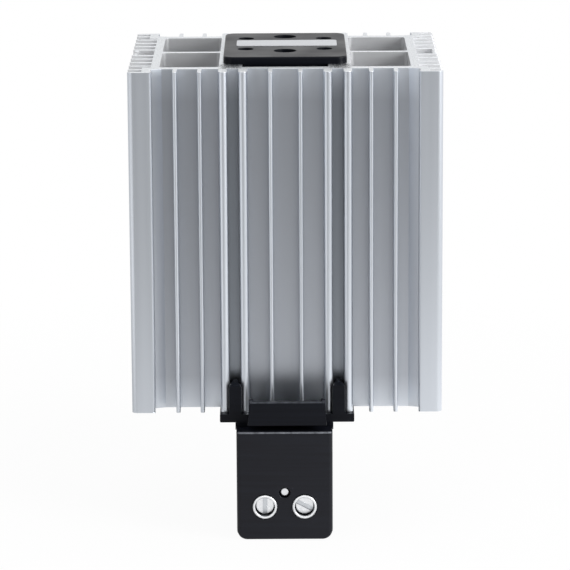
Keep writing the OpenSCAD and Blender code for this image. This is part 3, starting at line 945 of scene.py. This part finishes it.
@dataclass
class TerminalBox:
    """Base with its flange, prongs and lip, and the front cover with its holes."""

    shop: Workshop
    base_edge_mm: float = 0.3
    cover_edge_mm: float = 0.55
    hole_share: float = 0.3
    outline_mm: float = 3.2
    near_mm: float = 0.7
    before_mm: float = 0.3
    flange_mm: float = 3.0

    def build(self) -> None:
        """Builds the base and the cover, and dresses the parts inside the box."""
        self.build_base()
        self.build_cover()
        self.shop.dress_node("terminal_block", Slot.BLOCK)
        for node in ("left_clamp", "right_clamp"):
            self.shop.dress_node(node, Slot.BRASS)

    def build_base(self) -> None:
        """Copies the base and rounds the edges of its flange, prongs and hood."""
        low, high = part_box("terminal_base")
        sink_low, sink_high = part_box("heat_sink")

        def weight(middle: Vector, _along: Vector) -> float:
            """Gives the flange's rim and what stands above it before the profile full weight.

            Args:
                middle: Middle of the edge.
                _along: Its direction, not used.

            Returns:
                Weight of the edge.
            """
            inset = min(middle.x - low.x, high.x - middle.x, sink_high.y - middle.y)
            outside = inset < self.near_mm * MM or middle.y < sink_low.y - self.before_mm * MM
            return 1.0 if outside and middle.z > sink_low.z - self.flange_mm * MM else 0.0

        piece = self.shop.copy_of("terminal_base", "box_base")
        self.shop.round_edges(piece, self.base_edge_mm, segments=2, rule=weight)
        self.shop.finish(piece, Slot.BLACK, "terminal_base")

    def build_cover(self) -> None:
        """Copies the cover, rounds its outline fully and its holes less."""
        low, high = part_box("terminal_cover")
        reach = self.outline_mm * MM
        near = self.near_mm * MM

        def weight(middle: Vector, _along: Vector) -> float:
            """Gives the front outline full weight, other outer edges a share and inner edges nothing.

            Args:
                middle: Middle of the edge.
                _along: Its direction, not used.

            Returns:
                Weight of the edge.
            """
            inset = min(middle.x - low.x, high.x - middle.x, middle.z - low.z, high.z - middle.z)
            if middle.y - low.y < near:
                return 1.0 if inset < reach else self.hole_share
            return self.hole_share if inset < near else 0.0

        piece = self.shop.copy_of("terminal_cover", "box_cover")
        self.shop.round_edges(piece, self.cover_edge_mm, segments=3, rule=weight)
        self.shop.finish(piece, Slot.BLACK, "terminal_cover")
        piece.data.materials[0] = COVER_SKIN.material()


@dataclass
class Lathe:
    """Turns round parts whose axis runs from front to back."""

    shop: Workshop
    facets: int = 64
    slot_long_mm: float = 12.0

    def turn(self, name: str, centre: Vector, stations: list[tuple[float, float]],
             bored: bool = False) -> bpy.types.Object:
        """Extrudes a ring from station to station and closes it.

        Args:
            name: Name of the new piece.
            centre: Point on the axis from which the stations are counted.
            stations: Distance back along the axis and radius of each ring, in millimetres.
            bored: Whether the last ring is joined to the first, which leaves a bore.

        Returns:
            The closed piece, in object mode.
        """
        first_back, first_radius = stations[0]
        bpy.ops.object.select_all(action="DESELECT")
        bpy.ops.mesh.primitive_circle_add(
            vertices=self.facets, radius=first_radius * MM, fill_type="NOTHING",
            location=centre + Vector((0.0, first_back * MM, 0.0)), rotation=(QUARTER_TURN, 0.0, 0.0))
        piece = bpy.context.active_object
        piece.name = name
        piece.data.name = name
        bpy.ops.object.transform_apply(location=True, rotation=True)
        bpy.ops.object.mode_set(mode="EDIT")
        bpy.ops.mesh.select_mode(type="EDGE")
        bpy.ops.mesh.select_all(action="SELECT")
        for (back, radius), (next_back, next_radius) in zip(stations, stations[1:]):
            middle = centre + Vector((0.0, next_back * MM, 0.0))
            grow = next_radius / radius
            bpy.ops.mesh.extrude_region_move()
            bpy.ops.transform.translate(value=(0.0, (next_back - back) * MM, 0.0))
            bpy.ops.transform.resize(value=(grow, 1.0, grow), center_override=middle)
        bpy.ops.mesh.select_all(action="DESELECT")
        bpy.ops.mesh.select_non_manifold(extend=False)
        if bored:
            bpy.ops.mesh.bridge_edge_loops()
        else:
            bpy.ops.mesh.fill_holes(sides=0)
        bpy.ops.mesh.select_all(action="SELECT")
        bpy.ops.mesh.normals_make_consistent(inside=False)
        bpy.ops.object.mode_set(mode="OBJECT")
        return piece

    def cut_slot(self, piece: bpy.types.Object, centre: Vector, width_mm: float, depth_mm: float,
                 turn_deg: float) -> None:
        """Cuts a screwdriver slot across the front of a head.

        Args:
            piece: The screw.
            centre: Middle of the front of its head.
            width_mm: Width of the slot.
            depth_mm: Depth of the slot.
            turn_deg: Turn of the slot from upright.
        """
        bpy.ops.object.select_all(action="DESELECT")
        # Half of the cutter lies before the head, so it is twice as deep as the slot.
        bpy.ops.mesh.primitive_cube_add(
            size=1.0, location=centre, rotation=(0.0, math.radians(turn_deg), 0.0),
            scale=(width_mm * MM, 2 * depth_mm * MM, self.slot_long_mm * MM))
        cutter = bpy.context.active_object
        bpy.ops.object.transform_apply(location=True, rotation=True, scale=True)
        self.shop.take_hold(piece)
        cut = piece.modifiers.new("slot", "BOOLEAN")
        cut.object = cutter
        cut.solver = "EXACT"
        bpy.ops.object.modifier_apply(modifier=cut.name)
        bpy.data.objects.remove(cutter)

    def join(self, pieces: list[bpy.types.Object], name: str) -> bpy.types.Object:
        """Joins equal parts into one piece.

        Args:
            pieces: The parts.
            name: Name of the joined piece.

        Returns:
            The joined piece.
        """
        self.shop.take_hold(pieces[0])
        for piece in pieces:
            piece.select_set(True)
        bpy.ops.object.join()
        pieces[0].name = name
        pieces[0].data.name = name
        return pieces[0]


@dataclass
class Terminals:
    """Slotted screws sunk in cup washers, and the pin end above them."""

    shop: Workshop
    lathe: Lathe
    shank_mm: float = 3.0
    bore_play_mm: float = 0.03
    head_mm: float = 1.2
    head_play_mm: float = 0.15
    head_chamfer_mm: float = 0.22
    slot_width_mm: float = 1.3
    slot_depth_mm: float = 0.5
    slot_edge_mm: float = 0.05
    cup_floor_mm: float = 0.5
    rim_chamfer_mm: float = 0.2
    skirt_mm: float = 0.16
    skirt_back_mm: float = 1.2
    pin_round_mm: float = 0.45
    pin_steps: int = 4
    washer_soft_deg: float = 30.0
    screw_sharp_deg: float = 60.0
    pin_soft_deg: float = 40.0
    slot_turn: ClassVar[dict[Side, float]] = {Side.LEFT: 0.0, Side.RIGHT: -62.0}

    def build(self) -> None:
        """Builds the bright parts in the front of the box."""
        self.build_washers()
        self.build_screws()
        self.build_pin()

    def centre(self, node: str, side: Side) -> tuple[Vector, float, float]:
        """Finds where one of a pair of round parts sits.

        Args:
            node: CAD node that holds the pair.
            side: Which of the two.

        Returns:
            Middle of its front, its radius and its length, the last two in millimetres.
        """
        low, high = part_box(node)
        radius = (high.z - low.z) / 2
        across = low.x + radius if side is Side.LEFT else high.x - radius
        return Vector((across, low.y, low.z + radius)), radius * PER_MM, (high.y - low.y) * PER_MM

    def build_washers(self) -> None:
        """Turns both washers: a cup with a chamfered rim, a floor, a bore and a skirt behind the cover."""
        made = []
        bore = self.shank_mm / 2 + self.bore_play_mm
        cut = self.rim_chamfer_mm
        for side in Side:
            front, radius, length = self.centre("clamp_washers", side)
            cup = self.centre("terminal_screws", side)[1] + self.head_play_mm
            floor = length - self.cup_floor_mm
            skirt = radius + self.skirt_mm
            made.append(self.lathe.turn(f"washer_{side.name}", front, [
                (floor, bore), (floor, cup), (cut / 2, cup), (0.0, cup + cut / 2), (0.0, radius - cut),
                (cut, radius), (self.skirt_back_mm, radius), (self.skirt_back_mm, skirt),
                (length - cut, skirt), (length, radius - cut), (length, bore)], bored=True))
        piece = self.lathe.join(made, "cup_washers")
        self.shop.smooth(piece, self.washer_soft_deg)
        self.shop.finish(piece, Slot.ZINC, "clamp_washers")
        piece.data.materials[0] = CUP_ZINC.material()

    def build_screws(self) -> None:
        """Turns both screws, with a chamfered head, and cuts their slots."""
        made = []
        shank = self.shank_mm / 2
        cut = self.head_chamfer_mm
        for side in Side:
            front, radius, length = self.centre("terminal_screws", side)
            screw = self.lathe.turn(f"screw_{side.name}", front, [
                (0.0, radius - cut), (cut, radius), (self.head_mm, radius), (self.head_mm, shank),
                (length - cut, shank), (length, shank - cut)])
            self.lathe.cut_slot(screw, front, self.slot_width_mm, self.slot_depth_mm, self.slot_turn[side])
            self.shop.round_edges(screw, self.slot_edge_mm, segments=1, sharp_deg=self.screw_sharp_deg)
            made.append(screw)
        piece = self.lathe.join(made, "slotted_screws")
        self.shop.finish(piece, Slot.ZINC, "terminal_screws")
        piece.data.materials[0] = HEAD_ZINC.material()

    def build_pin(self) -> None:
        """Turns the pin with its rounded end."""
        front, radius, length = self.centre("cover_pin", Side.LEFT)
        nose = []
        for step in range(self.pin_steps, -1, -1):
            turn = step / self.pin_steps * QUARTER_TURN
            back = self.pin_round_mm * (1.0 - math.sin(turn))
            nose.append((back, radius - self.pin_round_mm * (1.0 - math.cos(turn))))
        piece = self.lathe.turn("pin_end", front, nose + [(length, radius)])
        self.shop.smooth(piece, self.pin_soft_deg)
        self.shop.finish(piece, Slot.ZINC, "cover_pin")


@dataclass
class RailClip:
    """Sheet clip at the back with its two countersunk screws."""

    shop: Workshop
    sheet_edge_mm: float = 0.25
    screw_edge_mm: float = 0.15

    def build(self) -> None:
        """Builds the clip and its screws."""
        for node, name, edge in (("rail_clip", "spring_clip", self.sheet_edge_mm),
                                 ("clip_screws", "countersunk_screws", self.screw_edge_mm)):
            piece = self.shop.copy_of(node, name)
            self.shop.round_edges(piece, edge, segments=2)
            self.shop.finish(piece, Slot.ZINC, node)


@dataclass
class HeatingCore:
    """The stack inside the profile, which keeps its CAD shapes."""

    shop: Workshop
    stone_count: int = 4

    def build(self) -> None:
        """Dresses the stones, spacers, electrodes, sleeve, strip and leads."""
        for number in range(1, self.stone_count + 1):
            self.shop.dress_node(f"ptc_stone_{number}", Slot.STONE)
        for node, slot in (("upper_spacer", Slot.SPACER), ("lower_spacer", Slot.SPACER),
                           ("front_electrode", Slot.ELECTRODE), ("rear_electrode", Slot.ELECTRODE),
                           ("insulating_sleeve", Slot.FILM), ("clamping_strip", Slot.ALUMINIUM),
                           ("live_lead", Slot.LEAD), ("neutral_lead", Slot.LEAD)):
            self.shop.dress_node(node, slot)


@dataclass(frozen=True)
class Lamp:
    """One soft panel lamp that points at the heater."""

    name: str
    place_m: tuple[float, float, float]
    size_m: float
    watts: float

    def hang(self, target: Vector) -> None:
        """Hangs the lamp and turns it towards a point.

        Args:
            target: The point.
        """
        data = bpy.data.lights.new(self.name, "AREA")
        data.shape = "SQUARE"
        data.size = self.size_m
        data.energy = self.watts
        lamp = bpy.data.objects.new(self.name, data)
        lamp.location = self.place_m
        lamp.rotation_euler = (target - lamp.location).to_track_quat("-Z", "Y").to_euler()
        bpy.context.scene.collection.objects.link(lamp)


@dataclass
class Studio:
    """Pale floor, soft lamps, white surroundings and the photograph's camera."""

    floor_radius_m: float = 1.1
    floor_facets: int = 96
    floor_gap_mm: float = 0.2
    floor_colour: str = "#EDEDED"
    # How white the floor is to the camera under the heater, and where its soft shadow ends.
    floor_glow: float = 0.95
    shadow_near_m: float = 0.07
    shadow_far_m: float = 0.24
    # What the metal sees of the floor: towards the front it fades, and leans more to the right.
    mirror_share: float = 0.85
    sheet_m: tuple[float, float] = (-0.18, -0.56)
    mirror_near: float = 1.02
    mirror_far: float = 0.3
    lean_near: float = 3.0
    lean_far: float = 10.0
    # At both sides the floor has a light of its own, one beside the heater and one before it.
    side_near_m: float = 0.12
    side_far_m: float = 0.24
    flank_m: tuple[float, float] = (-0.1, -0.2)
    mirror_left: float = 0.2
    mirror_beside: float = 0.75
    mirror_aside: float = 1.6
    mirror_right: float = 1.45
    mirror_flank: float = 0.9
    mirror_beyond: float = 0.65
    # What the metal sees of the room in each direction, with a bright card at the left in front.
    front_left: float = 0.16
    front_right: float = 0.62
    front_half: float = 0.25
    card_near: float = 0.36
    card_far: float = 0.5
    card_glow: float = 1.2
    room_left: float = 0.55
    room_right: float = 0.88
    room_half: float = 0.7
    room_back: float = 1.0
    room_top: float = 1.0
    room_fill: float = 0.55
    front_span: tuple[float, float] = (-0.9, -0.35)
    back_span: tuple[float, float] = (0.0, 0.5)
    top_span: tuple[float, float] = (0.3, 0.8)
    lamps: tuple[Lamp, ...] = (
        Lamp("key_right", (0.55, -0.4, 0.25), 0.3, 4.0),
        Lamp("fill_left", (-0.9, -0.6, 0.4), 0.7, 1.2),
        Lamp("top", (0.0, 0.0, 1.1), 0.9, 2.5),
    )
    camera_mm: tuple[float, float, float] = (-0.4, -1018.9, 201.2)
    fall_deg: float = 12.75
    roll_deg: float = 0.32
    focal_px: float = 3355.0
    frame_px: float = 570.0
    sensor_mm: float = 36.0
    clip_m: tuple[float, float] = (0.01, 20.0)

    def build(self) -> None:
        """Builds the whole surroundings."""
        low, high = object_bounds()
        self.lay_floor(low.z - self.floor_gap_mm * MM)
        self.light_room()
        for lamp in self.lamps:
            lamp.hang((low + high) / 2)
        self.set_camera()
        bpy.context.scene.view_settings.view_transform = "Standard"

    def lay_floor(self, level: float) -> None:
        """Lays a round sheet of paper just below the heater.

        Args:
            level: Height of the sheet in metres.
        """
        bpy.ops.object.select_all(action="DESELECT")
        bpy.ops.mesh.primitive_circle_add(vertices=self.floor_facets, radius=self.floor_radius_m,
                                          fill_type="NGON", location=(0.0, 0.0, level))
        floor = bpy.context.active_object
        floor.name = "floor"
        bpy.ops.object.transform_apply(location=True)
        floor.data.materials.append(self.paper())
        floor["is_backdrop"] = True

    def paper(self) -> bpy.types.Material:
        """Makes the paper: white to the camera away from the heater, and uneven to the metal.

        Returns:
            The paper.
        """
        made = bpy.data.materials.new("pale_paper_floor")
        made.use_nodes = True
        made.node_tree.nodes.clear()
        graph = Graph(made.node_tree)
        place = graph.add("TexCoord").outputs["Object"]
        path = graph.add("LightPath").outputs
        flat = graph.vector("MULTIPLY", place, (1.0, 1.0, 0.0))
        reach = graph.add("VectorMath", {0: flat}, operation="LENGTH").outputs["Value"]
        shaded = graph.between(reach, self.floor_glow, 1.0, self.shadow_near_m, self.shadow_far_m)
        mirrored = graph.math("MULTIPLY", path["Is Glossy Ray"], self.mirror_share)
        seen = graph.math("MULTIPLY_ADD", path["Is Camera Ray"], shaded, mirrored)
        light = graph.blend(path["Is Camera Ray"], self.sheet_light(graph, place), 1.0)
        paper = graph.add("BsdfDiffuse", {"Color": self.floor_colour}).outputs["BSDF"]
        glow = graph.add("Emission", {"Color": WHITE, "Strength": light}).outputs["Emission"]
        above = graph.add("MixShader", {"Fac": seen, 1: paper, 2: glow}).outputs["Shader"]
        # From below the sheet is clear, so that the underside of the heater can be looked at.
        below = graph.add("NewGeometry").outputs["Backfacing"]
        clear = graph.add("BsdfTransparent").outputs["BSDF"]
        sheet = graph.add("MixShader", {"Fac": below, 1: above, 2: clear}).outputs["Shader"]
        graph.add("OutputMaterial", {"Surface": sheet})
        return made

    def sheet_light(self, graph: Graph, place: Socket) -> Socket:
        """Works out how bright each spot of the paper looks to the metal.

        Args:
            graph: Nodes of the paper.
            place: Object coordinates.

        Returns:
            The brightness.
        """
        across, back, _ = graph.split(place)
        faded = graph.between(back, self.mirror_near, self.mirror_far, *self.sheet_m)
        slope = graph.between(back, self.lean_near, self.lean_far, *self.sheet_m)
        lean = graph.math("MULTIPLY_ADD", across, slope, 1.0)
        beyond = graph.between(back, self.mirror_flank, self.mirror_beyond, *self.flank_m)
        most = graph.between(across, self.mirror_right, beyond, self.side_near_m, self.side_far_m)
        aside = graph.between(back, self.mirror_beside, self.mirror_aside, *self.flank_m)
        least = graph.between(across, self.mirror_left, aside, -self.side_near_m, -self.side_far_m)
        held = graph.math("MAXIMUM", least, graph.math("MINIMUM", lean, most))
        return graph.math("MULTIPLY", faded, held)

    def light_room(self) -> None:
        """Makes the surroundings: white to the camera, and to the metal white behind and dimmer in front."""
        world = bpy.data.worlds.new("studio_room")
        bpy.context.scene.world = world
        world.use_nodes = True
        world.node_tree.nodes.clear()
        graph = Graph(world.node_tree)
        aside, back, up = graph.split(graph.add("TexCoord").outputs["Generated"])
        path = graph.add("LightPath").outputs
        sides = graph.between(aside, self.room_left, self.room_right, -self.room_half, self.room_half,
                              soft=True)
        ahead = graph.between(aside, self.front_left, self.front_right, -self.front_half, self.front_half)
        card = graph.between(aside, ahead, self.card_glow, -self.card_near, -self.card_far)
        beside = graph.between(back, card, sides, *self.front_span, soft=True)
        behind = graph.between(back, beside, self.room_back, *self.back_span, soft=True)
        above = graph.between(up, behind, self.room_top, *self.top_span, soft=True)
        sharp = graph.math("MAXIMUM", path["Is Glossy Ray"], path["Is Transmission Ray"])
        level = graph.between(sharp, self.room_fill, 1.0, 0.0, 1.0)
        lit = graph.math("MULTIPLY", above, level)
        strength = graph.math("MAXIMUM", lit, path["Is Camera Ray"])
        room = graph.add("Background", {"Color": WHITE, "Strength": strength}).outputs["Background"]
        graph.add("OutputWorld", {"Surface": room})

    def set_camera(self) -> None:
        """Sets the camera where the photograph was taken."""
        data = bpy.data.cameras.new("photo_camera")
        data.sensor_width = self.sensor_mm
        data.lens = self.focal_px / self.frame_px * self.sensor_mm
        data.clip_start, data.clip_end = self.clip_m
        camera = bpy.data.objects.new("photo_camera", data)
        camera.location = Vector(self.camera_mm) * MM
        camera.rotation_mode = "ZYX"
        tilt = QUARTER_TURN - math.radians(self.fall_deg)
        camera.rotation_euler = (tilt, 0.0, -math.radians(self.roll_deg))
        bpy.context.scene.collection.objects.link(camera)
        bpy.context.scene.camera = camera


def main() -> None:
    """Loads the frame, builds every sub-assembly in order and sets the studio."""
    logging.basicConfig(level=logging.INFO, format="%(name)s: %(message)s")
    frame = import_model()
    shop = Workshop(frame, {slot: finish.material() for slot, finish in FINISHES.items()})
    for assembly in (HeatSink(shop), TopCap(shop), TerminalBox(shop), Terminals(shop, Lathe(shop)),
                     RailClip(shop), HeatingCore(shop)):
        assembly.build()
    Studio().build()


if __name__ == "__main__":
    main()
